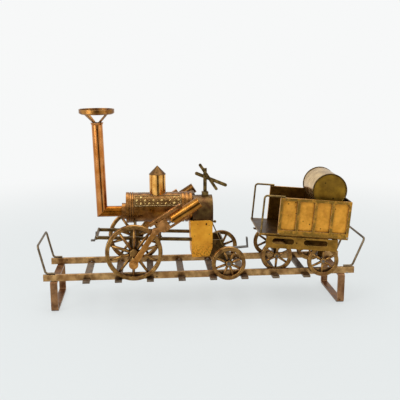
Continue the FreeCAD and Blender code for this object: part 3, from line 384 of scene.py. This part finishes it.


# What each finish gives the eye: tube and dome mirror the room, sheet and strip are satin with brown
# oxide clouds, the castings keep a dull skin with rubbed edges, and solder is pale grey.
# in each finish, the soil colour paints the tarnish specks and also the painted shade in corners
finishes = {
    "brightCopperTube": {"light": "#CA8B51", "dark": "#B57032", "tint": "#9E5A1F", "soilAndShade": "#4A2A10",
                         "edge": "#F0CFA0", "blotchMm": 16.0, "smooth": 0.13, "rough": 0.24,
                         "speckShare": 0.05, "bumpAmount": 0.06, "tintAmount": 0.6},
    "brownedCopperFlue": {"light": "#A0601C", "dark": "#6E3C08", "tint": "#8A5018", "soilAndShade": "#2C1606",
                          "edge": "#D49A5C", "blotchMm": 9.0, "smooth": 0.20, "rough": 0.34,
                          "bumpAmount": 0.10},
    "polishedCylinderBrass": {"light": "#BA833B", "dark": "#9B6221", "tint": "#784512", "soilAndShade": "#3C200A",
                              "edge": "#E8C084", "blotchMm": 9.0, "smooth": 0.16, "rough": 0.28,
                              "bumpAmount": 0.08},
    "patinatedCopperBoiler": {"light": "#A06E3A", "dark": "#70481E", "tint": "#9B6210", "soilAndShade": "#22100A",
                              "edge": "#A07C50", "blotchMm": 8.0, "smooth": 0.24, "rough": 0.40,
                              "tintAmount": 0.6},
    "smokedFireboxCopper": {"light": "#765C34", "dark": "#543821", "tint": "#63402E", "soilAndShade": "#2A170C",
                            "edge": "#B48E60", "blotchMm": 9.0, "smooth": 0.30, "rough": 0.46},
    "oliveBrassFrame": {"light": "#7E6236", "dark": "#4E3A1E", "tint": "#644428", "soilAndShade": "#241A10",
                        "edge": "#A58A58", "blotchMm": 8.0, "smooth": 0.32, "rough": 0.5},
    "brownBrassBar": {"light": "#CAA069", "dark": "#846039", "tint": "#9D6D40", "soilAndShade": "#2C1C10",
                      "edge": "#C09A68", "blotchMm": 10.0, "smooth": 0.30, "rough": 0.48},
    "tarnishedStrip": {"light": "#8E7C68", "dark": "#5F4F40", "tint": "#7C5C3C", "soilAndShade": "#33281E",
                       "edge": "#A8967E", "blotchMm": 7.0, "smooth": 0.34, "rough": 0.52},
    "heatTintedStrip": {"light": "#A07650", "dark": "#704E34", "tint": "#98623A", "soilAndShade": "#42291A",
                        "edge": "#CCA070", "blotchMm": 10.0, "smooth": 0.30, "rough": 0.48},
    "darkSteelWire": {"light": "#8C7A60", "dark": "#5E5040", "tint": "#6C5430", "soilAndShade": "#2C241C",
                      "edge": "#9A8A74", "blotchMm": 7.0, "smooth": 0.32, "rough": 0.5},
    "greySteel": {"light": "#86807A", "dark": "#56504A", "tint": "#66543E", "soilAndShade": "#2A2622",
                  "edge": "#A5A098", "blotchMm": 6.0, "smooth": 0.28, "rough": 0.44},
    "brownBrassRing": {"light": "#B07E40", "dark": "#7A4E22", "tint": "#6A4220", "soilAndShade": "#26160A",
                       "edge": "#B68C54", "blotchMm": 7.0, "smooth": 0.26, "rough": 0.42},
    "brightBrassDome": {"light": "#F2B967", "dark": "#CF913F", "tint": "#B5772D", "soilAndShade": "#48300F",
                        "edge": "#F0CC90", "blotchMm": 9.0, "smooth": 0.13, "rough": 0.24, "speckShare": 0.10,
                        "bumpAmount": 0.06},
    "satinConeBrass": {"light": "#74552F", "dark": "#4E3820", "tint": "#7C5634", "soilAndShade": "#2E1E10",
                       "edge": "#9A7C4C", "blotchMm": 7.0, "smooth": 0.26, "rough": 0.42},
    "pressedBrass": {"light": "#86653A", "dark": "#54381C", "tint": "#6E4A28", "soilAndShade": "#20120A",
                     "edge": "#D6C08C", "blotchMm": 4.0, "smooth": 0.24, "rough": 0.40, "edgeAmount": 0.8},
    "satinBrassCasing": {"light": "#FFBC42", "dark": "#F0A034", "tint": "#DE9236", "soilAndShade": "#6A4018",
                         "edge": "#F4C468", "blotchMm": 14.0, "smooth": 0.42, "rough": 0.56, "speckMm": 4.0,
                         "speckShare": 0.12, "cornerShadeAndGrimeAmount": 0.4},
    "castBrassWheel": {"light": "#A67E46", "dark": "#6A4826", "tint": "#885C38", "soilAndShade": "#24160A",
                       "edge": "#C8A468", "blotchMm": 8.0, "smooth": 0.28, "rough": 0.46},
    "copperBarRod": {"light": "#D4944C", "dark": "#A2682E", "tint": "#AC7238", "soilAndShade": "#38220F",
                     "edge": "#DCAE74", "blotchMm": 9.0, "smooth": 0.26, "rough": 0.42},
    "slideBarBrass": {"light": "#EBA965", "dark": "#AF763F", "tint": "#9F6636", "soilAndShade": "#36200E",
                      "edge": "#D0A468", "blotchMm": 8.0, "smooth": 0.28, "rough": 0.44},
    "oliveBrassSheet": {"light": "#AA7C34", "dark": "#7C5A24", "tint": "#86602C", "soilAndShade": "#342210",
                        "edge": "#CCA860", "blotchMm": 9.0, "smooth": 0.30, "rough": 0.46},
    "sootyBrassSheet": {"light": "#6C4C20", "dark": "#3C260E", "tint": "#543414", "soilAndShade": "#180C04",
                        "edge": "#8C6C3C", "blotchMm": 9.0, "smooth": 0.34, "rough": 0.5},
    "goldBrassPanel": {"light": "#F6B248", "dark": "#D89436", "tint": "#C88438", "soilAndShade": "#3C200C",
                       "edge": "#E4BC74", "blotchMm": 8.0, "smooth": 0.36, "rough": 0.52, "speckMm": 5.0,
                       "speckShare": 0.28, "cornerShadeAndGrimeAmount": 0.95},
    "paleBrassSheet": {"light": "#E8C890", "dark": "#C09A60", "tint": "#A8884E", "soilAndShade": "#5A4226",
                       "edge": "#F4E2BC", "blotchMm": 14.0, "smooth": 0.22, "rough": 0.34},
    "oliveBrassLid": {"light": "#A47E2C", "dark": "#7C5C1E", "tint": "#765824", "soilAndShade": "#2A1C0C",
                      "edge": "#B89A50", "blotchMm": 12.0, "smooth": 0.36, "rough": 0.5},
    "dullBrassStrip": {"light": "#947A48", "dark": "#5E4A2A", "tint": "#644E2C", "soilAndShade": "#281E12",
                       "edge": "#A5926A", "blotchMm": 6.0, "smooth": 0.32, "rough": 0.5},
    "rubbedReliefBrass": {"light": "#D2B878", "dark": "#96743C", "tint": "#A88450", "soilAndShade": "#20120A",
                          "edge": "#E8D8A8", "blotchMm": 4.0, "smooth": 0.22, "rough": 0.36},
    "greyTinSolder": {"light": "#B4AC9E", "dark": "#80766A", "tint": "#8E7452", "soilAndShade": "#4A4034",
                      "edge": "#CEC8BC", "blotchMm": 2.5, "smooth": 0.28, "rough": 0.46, "grainMm": 0.8},
}

nodeFinish = {
    "brownBrassBar": ["rails"],
    "tarnishedStrip": ["sleepers"],
    "heatTintedStrip": ["end_stands"],
    "darkSteelWire": ["end_loops"],
    "oliveBrassFrame": ["frame_bars", "front_beam", "hornplates", "rear_carrier", "boiler_saddles",
                        "cylinder_brackets"],
    "greySteel": ["coupling_hooks", "grate", "drive_axle", "rear_axle", "near_piston_rod", "far_piston_rod",
                  "tender_front_axle", "tender_rear_axle"],
    "patinatedCopperBoiler": ["boiler_shell", "boiler_front_plate", "boiler_hoops"],
    "smokedFireboxCopper": ["firebox_shell"],
    "brightCopperTube": ["chimney_pipe", "chimney_lip"],
    "brownedCopperFlue": ["flue_pipe"],
    "polishedCylinderBrass": ["cylinders"],
    "brownBrassRing": ["crown_struts", "crown_ring"],
    "brightBrassDome": ["dome_tube"],
    "satinConeBrass": ["dome_cap"],
    "pressedBrass": ["relief_bands"],
    "satinBrassCasing": ["firebox_casing"],
    "dullBrassStrip": ["drain_knob", "stay_rods", "regulator_post", "lever_pins", "upper_lever",
                       "lower_lever", "tender_handrails", "barrel_tap"],
    "castBrassWheel": ["drive_wheels", "rear_wheels", "tender_front_wheels", "tender_rear_wheels"],
    "copperBarRod": ["crank_pins", "near_connecting_rod", "far_connecting_rod"],
    "slideBarBrass": ["slide_bars", "near_crosshead", "far_crosshead"],
    "oliveBrassSheet": ["tender_floor", "tender_chassis_plates"],
    "sootyBrassSheet": ["tender_chassis_members", "tender_drawbar", "barrel_cradles"],
    "goldBrassPanel": ["tender_side_walls", "tender_rear_wall"],
    "paleBrassSheet": ["barrel_shell"],
    "oliveBrassLid": ["barrel_ends"],
    "rubbedReliefBrass": [],
    "greyTinSolder": [],
}

extraMarks = {"goldBrassPanel": paintTenderWall, "satinBrassCasing": stainCasing,
              "oliveBrassSheet": shadeTenderInside, "oliveBrassLid": darkenLidBead,
              "polishedCylinderBrass": shadeFarCylinder}

made = {}
for finish, nodes in nodeFinish.items():
    made[finish] = coatMetal(finish, finishes[finish], extraMarks.get(finish))
    for node in nodes:
        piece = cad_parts[node]
        piece.data.materials.clear()
        piece.data.materials.append(made[finish])
print("finishes made:", len(made))


def plainObject(name, mesh):
    piece = bpy.data.objects.new(name, mesh)
    bpy.context.scene.collection.objects.link(piece)
    return piece


def evaluatedMesh(seed, name):
    # turns the modifier's result into a plain mesh and drops the seed
    bpy.context.view_layer.update()
    ready = seed.evaluated_get(bpy.context.evaluated_depsgraph_get())
    mesh = bpy.data.meshes.new_from_object(ready)
    mesh.name = name
    seed.modifiers.clear()
    bpy.data.objects.remove(seed)
    return mesh


def namedInputs(tree, wanted):
    return {name: tree.interface.new_socket(name=name, in_out="INPUT", socket_type=kind).identifier
            for name, kind in wanted}


def studTree():
    # one stud on every point, turned to that point's facing and a little uneven in size
    tree = bpy.data.node_groups.new("studsOnPoints", "GeometryNodeTree")
    ids = namedInputs(tree, [("Points", "NodeSocketGeometry"), ("Stud Size", "NodeSocketVector"),
                             ("Unevenness", "NodeSocketFloat"), ("Seed", "NodeSocketInt"),
                             ("Finish", "NodeSocketMaterial")])
    tree.interface.new_socket(name="Studs", in_out="OUTPUT", socket_type="NodeSocketGeometry")
    given = addNode(tree, "NodeGroupInput")
    facing = addNode(tree, "GeometryNodeInputNamedAttribute", {"data_type": "FLOAT_VECTOR", "Name": "facing"})
    turn = addNode(tree, "FunctionNodeAlignRotationToVector", {"axis": "Z"}, {"Vector": facing.outputs[0]})
    low = addNode(tree, "ShaderNodeMath", {"operation": "SUBTRACT", 0: 1.0}, {1: given.outputs["Unevenness"]})
    uneven = addNode(tree, "FunctionNodeRandomValue", {"data_type": "FLOAT", 3: 1.0},
                     {2: low.outputs[0], "Seed": given.outputs["Seed"]})
    size = addNode(tree, "ShaderNodeVectorMath", {"operation": "SCALE"},
                   {0: given.outputs["Stud Size"], "Scale": uneven.outputs[1]})
    ball = addNode(tree, "GeometryNodeMeshIcoSphere", {"Radius": 1.0, "Subdivisions": 2})
    smooth = addNode(tree, "GeometryNodeSetShadeSmooth", links={0: ball.outputs[0]})
    studs = addNode(tree, "GeometryNodeInstanceOnPoints", links={"Points": given.outputs["Points"],
                                                                 "Instance": smooth.outputs[0],
                                                                 "Rotation": turn.outputs[0],
                                                                 "Scale": size.outputs[0]})
    real = addNode(tree, "GeometryNodeRealizeInstances", links={0: studs.outputs[0]})
    coat = addNode(tree, "GeometryNodeSetMaterial", links={"Geometry": real.outputs[0],
                                                           "Material": given.outputs["Finish"]})
    addNode(tree, "NodeGroupOutput", links={0: coat.outputs[0]})
    return tree, ids


studs, studIds = studTree()


def addStuds(name, body, points, size, unevenness, seed, finish):
    mesh = bpy.data.meshes.new(name + "Seed")
    mesh.from_pydata([place for place, _ in points], [], [])
    facing = mesh.attributes.new("facing", "FLOAT_VECTOR", "POINT")
    for item, (_, way) in zip(facing.data, points):
        item.vector = way
    start = plainObject(name + "Seed", mesh)
    grow = start.modifiers.new("studs", "NODES")
    grow.node_group = studs
    grow[studIds["Stud Size"]] = [mm(v) for v in size]
    grow[studIds["Unevenness"]] = unevenness
    grow[studIds["Seed"]] = seed
    grow[studIds["Finish"]] = made[finish]
    piece = plainObject(name, evaluatedMesh(start, name))
    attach(piece, body)


# solder where the strips cross the rails, and where wire, brackets and struts meet their plates
trackSolder = {"size": (2.3, 1.5, 0.9), "unevenness": 0.45, "seed": 4, "railHalf": 2.25, "lift": 46.0,
               "strips": 8, "stripWidth": 9.6, "bare": (6, -1)}


def solderTrack():
    rails, strips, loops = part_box("rails"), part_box("sleepers"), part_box("end_loops")
    gaugeHalf = rails[1].y - mm(trackSolder["railHalf"])
    count, width = trackSolder["strips"], mm(trackSolder["stripWidth"])
    first = strips[0].x + width / 2
    pitch = (strips[1].x - strips[0].x - width) / (count - 1)
    points = []
    for i in range(count):
        for side in (-1, 1):
            if (i, side) == trackSolder["bare"]:
                continue
            place = (first + i * pitch, side * (gaugeHalf - mm(trackSolder["railHalf"]) - mm(0.4)),
                     mm(trackSolder["lift"]))
            points.append((place, (0.0, -side * 0.5, 0.86)))
    for x in (rails[0].x + mm(10), rails[1].x - mm(10)):
        for side in (-1, 1):
            points.append(((x, side * gaugeHalf, rails[1].z + mm(0.6)), (0.0, 0.0, 1.0)))
            points.append(((x, side * (gaugeHalf + mm(2.2)), rails[0].z + mm(0.6)), (0.0, side * 1.0, 0.2)))
    addStuds("trackSolder", "track", points, trackSolder["size"], trackSolder["unevenness"],
             trackSolder["seed"], "greyTinSolder")


engineSolder = {"size": (1.7, 1.3, 0.8), "unevenness": 0.5, "seed": 11}


def solderEngine():
    points = []
    beam, bars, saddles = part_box("front_beam"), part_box("frame_bars"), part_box("boiler_saddles")
    horns, dome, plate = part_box("hornplates"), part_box("dome_tube"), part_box("boiler_front_plate")
    for side in (-1, 1):
        edge = side * (bars[1].y - mm(0.2))
        points.append(((beam[1].x, edge, beam[1].z - mm(1.0)), (0.3, side * 1.0, 0.4)))
        points.append(((horns[0].x + mm(4), edge, horns[1].z - mm(0.8)), (0.0, side * 1.0, 0.5)))
        points.append(((horns[1].x - mm(4), edge, horns[1].z - mm(0.8)), (0.0, side * 1.0, 0.5)))
        for x in (saddles[0].x, saddles[1].x):
            points.append(((x, side * mm(21.5), bars[1].z - mm(2.2)), (0.0, side * 0.6, 0.8)))
    middle = (dome[0] + dome[1]) / 2
    radius = (dome[1].x - dome[0].x) / 2 + mm(0.1)
    for i in range(26):
        turn = 2 * math.pi * i / 26
        y, x = radius * math.sin(turn), radius * math.cos(turn)
        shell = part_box("boiler_shell")
        axis, reach = (shell[0].z + shell[1].z) / 2, (shell[1].z - shell[0].z) / 2
        z = axis + math.sqrt(reach ** 2 - y ** 2)
        points.append(((middle.x + x, y, z), (x, y, radius * 1.2)))
    collar = (plate[0].z + plate[1].z) / 2 - mm(5)
    for i in range(18):
        turn = 2 * math.pi * i / 18
        y, z = mm(11.4) * math.sin(turn), collar + mm(11.4) * math.cos(turn)
        points.append(((plate[0].x + mm(6.1), y, z), (-1.0, y, z - collar)))
    addStuds("engineSolder", "locomotive", points, engineSolder["size"], engineSolder["unevenness"],
             engineSolder["seed"], "greyTinSolder")


tenderSolder = {"size": (1.6, 1.2, 0.8), "unevenness": 0.5, "seed": 23}


def seatMatrix():
    turn = Matrix.Rotation(math.radians(tenderSeat["turn"]), 4, "Z")
    tilt = Matrix.Rotation(math.radians(tenderSeat["tilt"]), 4, "Y")
    return Matrix.Translation([mm(v) for v in tenderSeat["place"]]) @ turn @ tilt


def solderTender():
    seat = seatMatrix()
    spin = seat.to_3x3()
    local = []
    for side in (-1, 1):
        local += [((-55.2, side * 44.6, 0.3), (0.4, side * 0.4, 0.8)),
                  ((-27.0, side * 44.7, 52.2), (0, 0, 1)),
                  ((-31.5, side * 45.9, 0.4), (0, side, 0.3)), ((66.0, side * 45.9, 0.4), (0, side, 0.3)),
                  ((66.8, side * 43.5, 50.0), (1, side, 0))]
    points = [(seat @ Vector([mm(v) for v in place]), spin @ Vector(way)) for place, way in local]
    addStuds("tenderSolder", "tender", points, tenderSolder["size"], tenderSolder["unevenness"],
             tenderSolder["seed"], "greyTinSolder")


# plain lozenges and round studs pressed into the plates along the boiler
pressedWork = {"rows": (25.0, 38.0, 51.0), "step": 5.6, "size": (1.9, 2.1, 1.0), "small": (0.95, 0.95, 0.8)}


def pressBoilerPlates():
    plates, shell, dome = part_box("relief_bands"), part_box("boiler_shell"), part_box("dome_tube")
    axis, radius = (shell[0].z + shell[1].z) / 2, (shell[1].z - shell[0].z) / 2 + mm(0.9)
    domeX, domeReach = (dome[0].x + dome[1].x) / 2, (dome[1].x - dome[0].x) / 2 + mm(1.6)
    big, small = [], []
    start, end = plates[0].x + mm(4.2), plates[1].x - mm(4.2)
    count = int((end - start) / mm(pressedWork["step"]))
    for side in (-1, 1):
        for row, angle in enumerate(pressedWork["rows"]):
            turn = math.radians(angle)
            way = Vector((0.0, side * math.cos(turn), math.sin(turn)))
            for i in range(count + 1):
                x = start + i * (end - start) / count
                if abs(x - domeX) < domeReach and angle > 45:
                    continue
                place = Vector((x, 0.0, axis)) + way * radius
                (big if (i + row) % 2 else small).append((place, way))
    addStuds("pressedLozenges", "locomotive", big, pressedWork["size"], 0.12, 7, "rubbedReliefBrass")
    addStuds("pressedDots", "locomotive", small, pressedWork["small"], 0.1, 8, "rubbedReliefBrass")


solderTrack()
solderEngine()
solderTender()
pressBoilerPlates()
print("solder and pressed work added")


def spokeTree():
    # tapered round spokes that stand outwards from a ring of points on the hub
    tree = bpy.data.node_groups.new("taperedSpokes", "GeometryNodeTree")
    ids = namedInputs(tree, [("Spokes", "NodeSocketInt"), ("Hub Radius", "NodeSocketFloat"),
                             ("Spoke Length", "NodeSocketFloat"), ("Root Radius", "NodeSocketFloat"),
                             ("Tip Radius", "NodeSocketFloat"), ("First Angle", "NodeSocketFloat"),
                             ("Finish", "NodeSocketMaterial")])
    tree.interface.new_socket(name="Spokes Out", in_out="OUTPUT", socket_type="NodeSocketGeometry")
    given = addNode(tree, "NodeGroupInput")
    ring = addNode(tree, "GeometryNodeMeshCircle", links={"Vertices": given.outputs["Spokes"],
                                                          "Radius": given.outputs["Hub Radius"]})
    angle = addNode(tree, "ShaderNodeCombineXYZ", links={2: given.outputs["First Angle"]})
    turned = addNode(tree, "GeometryNodeTransform", links={"Geometry": ring.outputs[0],
                                                           "Rotation": angle.outputs[0]})
    where = addNode(tree, "GeometryNodeInputPosition")
    turn = addNode(tree, "FunctionNodeAlignRotationToVector", {"axis": "Z"}, {"Vector": where.outputs[0]})
    cone = addNode(tree, "GeometryNodeMeshCone", {"Vertices": 14},
                   {"Radius Top": given.outputs["Tip Radius"], "Radius Bottom": given.outputs["Root Radius"],
                    "Depth": given.outputs["Spoke Length"]})
    smooth = addNode(tree, "GeometryNodeSetShadeSmooth", links={0: cone.outputs[0]})
    spokes = addNode(tree, "GeometryNodeInstanceOnPoints", links={"Points": turned.outputs[0],
                                                                  "Instance": smooth.outputs[0],
                                                                  "Rotation": turn.outputs[0]})
    real = addNode(tree, "GeometryNodeRealizeInstances", links={0: spokes.outputs[0]})
    coat = addNode(tree, "GeometryNodeSetMaterial", links={"Geometry": real.outputs[0],
                                                           "Material": given.outputs["Finish"]})
    addNode(tree, "NodeGroupOutput", links={0: coat.outputs[0]})
    return tree, ids


spokeMaker, spokeIds = spokeTree()


def spokeMesh(name, wheel):
    start = plainObject(name + "Seed", bpy.data.meshes.new(name + "Seed"))
    grow = start.modifiers.new("spokes", "NODES")
    grow.node_group = spokeMaker
    sizes = {"Spokes": wheel["spokes"], "Hub Radius": mm(wheel["hub"] * 0.7),
             "Spoke Length": mm(wheel["radius"] - wheel["rimDepth"] * 0.7 - wheel["hub"] * 0.7),
             "Root Radius": mm(wheel["root"]), "Tip Radius": mm(wheel["tip"]),
             "First Angle": math.radians(wheel["firstAngle"]), "Finish": made["castBrassWheel"]}
    for key, value in sizes.items():
        grow[spokeIds[key]] = value
    return evaluatedMesh(start, name)


def lathe(shape, outline, segments):
    # closed outline of (radius, height) pairs turned about the Z axis
    rings = []
    for i in range(segments):
        turn = 2 * math.pi * i / segments
        rings.append([shape.verts.new((mm(r) * math.cos(turn), mm(r) * math.sin(turn), mm(h)))
                      for r, h in outline])
    faces = []
    for i in range(segments):
        here, after = rings[i], rings[(i + 1) % segments]
        for j in range(len(outline)):
            k = (j + 1) % len(outline)
            faces.append(shape.faces.new((here[j], here[k], after[k], after[j])))
    bmesh.ops.recalc_face_normals(shape, faces=faces)


def disc(shape, radius, low, high, place=(0.0, 0.0), bevel=0.4, segments=40):
    cylinder = bmesh.ops.create_cone(shape, cap_ends=True, segments=segments, radius1=mm(radius),
                                     radius2=mm(radius), depth=mm(high - low))
    centre = (mm(place[0]), mm(place[1]), mm((low + high) / 2))
    bmesh.ops.translate(shape, verts=cylinder["verts"], vec=centre)
    rims = {edge for v in cylinder["verts"] for edge in v.link_edges
            if abs(edge.verts[0].co.z - edge.verts[1].co.z) < 1e-7}
    bmesh.ops.bevel(shape, geom=list(rims), offset=mm(bevel), segments=2, affect="EDGES")


def web(shape, start, end, startHalf, endHalf, low, high):
    # flat tapered plate between two points of the wheel's face
    along = Vector((end[0] - start[0], end[1] - start[1]))
    side = Vector((-along.y, along.x)).normalized()
    corners = []
    for point, half in ((start, startHalf), (end, endHalf)):
        for sign in (-1, 1):
            corners.append((point[0] + side.x * half * sign, point[1] + side.y * half * sign))
    order = [corners[0], corners[1], corners[3], corners[2]]
    bottom = [shape.verts.new((mm(x), mm(y), mm(low))) for x, y in order]
    top = [shape.verts.new((mm(x), mm(y), mm(high))) for x, y in order]
    faces = [shape.faces.new(bottom), shape.faces.new(top)]
    for i in range(4):
        k = (i + 1) % 4
        faces.append(shape.faces.new((bottom[i], bottom[k], top[k], top[i])))
    bmesh.ops.recalc_face_normals(shape, faces=faces)


def rimOutline(wheel):
    # from the outer face (height 0) to the inner one, with a rounded tread and a small flange
    radius, depth, tread = wheel["radius"], wheel["rimDepth"], wheel["tread"]
    inner = radius - depth
    return [(radius - 0.5, 0.0), (radius, 0.5), (radius, tread * 0.70), (radius + 0.35, tread * 0.76),
            (radius + 0.45, tread - 0.5), (radius, tread), (inner + 0.6, tread), (inner, tread - 0.6),
            (inner, 0.7), (inner + 0.5, 0.15), (inner + 1.3, 0.0), (inner + 1.7, 0.35),
            (inner + 2.2, 0.35), (inner + 2.6, 0.0)]


wheels = {
    "drive": {"node": "drive_wheels", "body": "drive_wheelset", "radius": 38.6, "rimDepth": 5.4, "tread": 5.6,
              "outerFace": 48.25, "hub": 5.4, "hubStep": 0.8, "spokes": 10, "root": 2.5, "tip": 1.7,
              "firstAngle": -92.0, "crank": (14.5, -92.0, 6.2, 4.0), "onTender": False},
    "rear": {"node": "rear_wheels", "body": "rear_wheelset", "radius": 23.4, "rimDepth": 5.4, "tread": 5.6,
             "outerFace": 48.25, "hub": 4.2, "hubStep": 0.8, "spokes": 8, "root": 2.0, "tip": 1.5,
             "firstAngle": 20.0, "crank": None, "onTender": False},
    "tenderFront": {"node": "tender_front_wheels", "body": "tender_front_wheelset", "radius": 21.8,
                    "rimDepth": 5.4, "tread": 4.0, "outerFace": 41.0, "hub": 3.6, "hubStep": 0.6, "spokes": 6,
                    "root": 1.9, "tip": 1.5, "firstAngle": 30.0, "crank": None, "onTender": True},
    "tenderRear": {"node": "tender_rear_wheels", "body": "tender_rear_wheelset", "radius": 21.8,
                   "rimDepth": 5.4, "tread": 4.0, "outerFace": 41.0, "hub": 3.6, "hubStep": 0.6, "spokes": 6,
                   "root": 1.9, "tip": 1.5, "firstAngle": 30.0, "crank": None, "onTender": True},
}


def castWheels(name, wheel):
    # the wheel is made face up and then stood on its side, once for each rail
    spokes = spokeMesh(name + "Spokes", wheel)
    low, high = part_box(wheel["node"])
    middle = Matrix.Translation((low + high) / 2)
    if wheel["onTender"]:
        middle = middle @ Matrix.Rotation(math.radians(tenderSeat["turn"]), 4, "Z")
        middle = middle @ Matrix.Rotation(math.radians(tenderSeat["tilt"]), 4, "Y")
    whole = bmesh.new()
    for side in (-1, 1):
        part = bmesh.new()
        part.from_mesh(spokes)
        bmesh.ops.translate(part, verts=part.verts[:], vec=(0, 0, mm(wheel["tread"] * 0.45)))
        lathe(part, rimOutline(wheel), 96)
        disc(part, wheel["hub"], -wheel["hubStep"], wheel["tread"] + 0.4)
        if wheel["crank"]:
            arm, angle, boss, depth = wheel["crank"]
            turn = math.radians(angle)
            pin = (arm * math.cos(turn), arm * math.sin(turn))
            web(part, (0, 0), pin, wheel["hub"] * 0.9, boss * 0.9, 0.7, depth - 0.2)
            disc(part, boss, 0.0, depth, pin)
        # height 0 becomes the outer face, and left stays left, seen from the near side
        stand = Matrix(((1, 0, 0, 0), (0, 0, 1, 0), (0, 1, 0, 0), (0, 0, 0, 1)))
        shift = Matrix.Translation((0, -mm(wheel["outerFace"]), 0))
        flip = Matrix.Diagonal((1, -side, 1, 1))
        part.transform(middle @ flip @ shift @ stand)
        if (flip @ stand).determinant() < 0:
            bmesh.ops.reverse_faces(part, faces=part.faces[:])
        half = bpy.data.meshes.new("side")
        part.to_mesh(half)
        part.free()
        whole.from_mesh(half)
        bpy.data.meshes.remove(half)
    mesh = bpy.data.meshes.new(name + "WheelCastings")
    for face in whole.faces:
        face.smooth = len(face.verts) == 4
    whole.to_mesh(mesh)
    whole.free()
    bpy.data.meshes.remove(spokes)
    mesh.materials.clear()
    mesh.materials.append(made["castBrassWheel"])
    piece = plainObject(name + "WheelCastings", mesh)
    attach(piece, wheel["body"])
    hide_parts(wheel["node"])


for name, wheel in wheels.items():
    castWheels(name, wheel)
print("wheels cast")
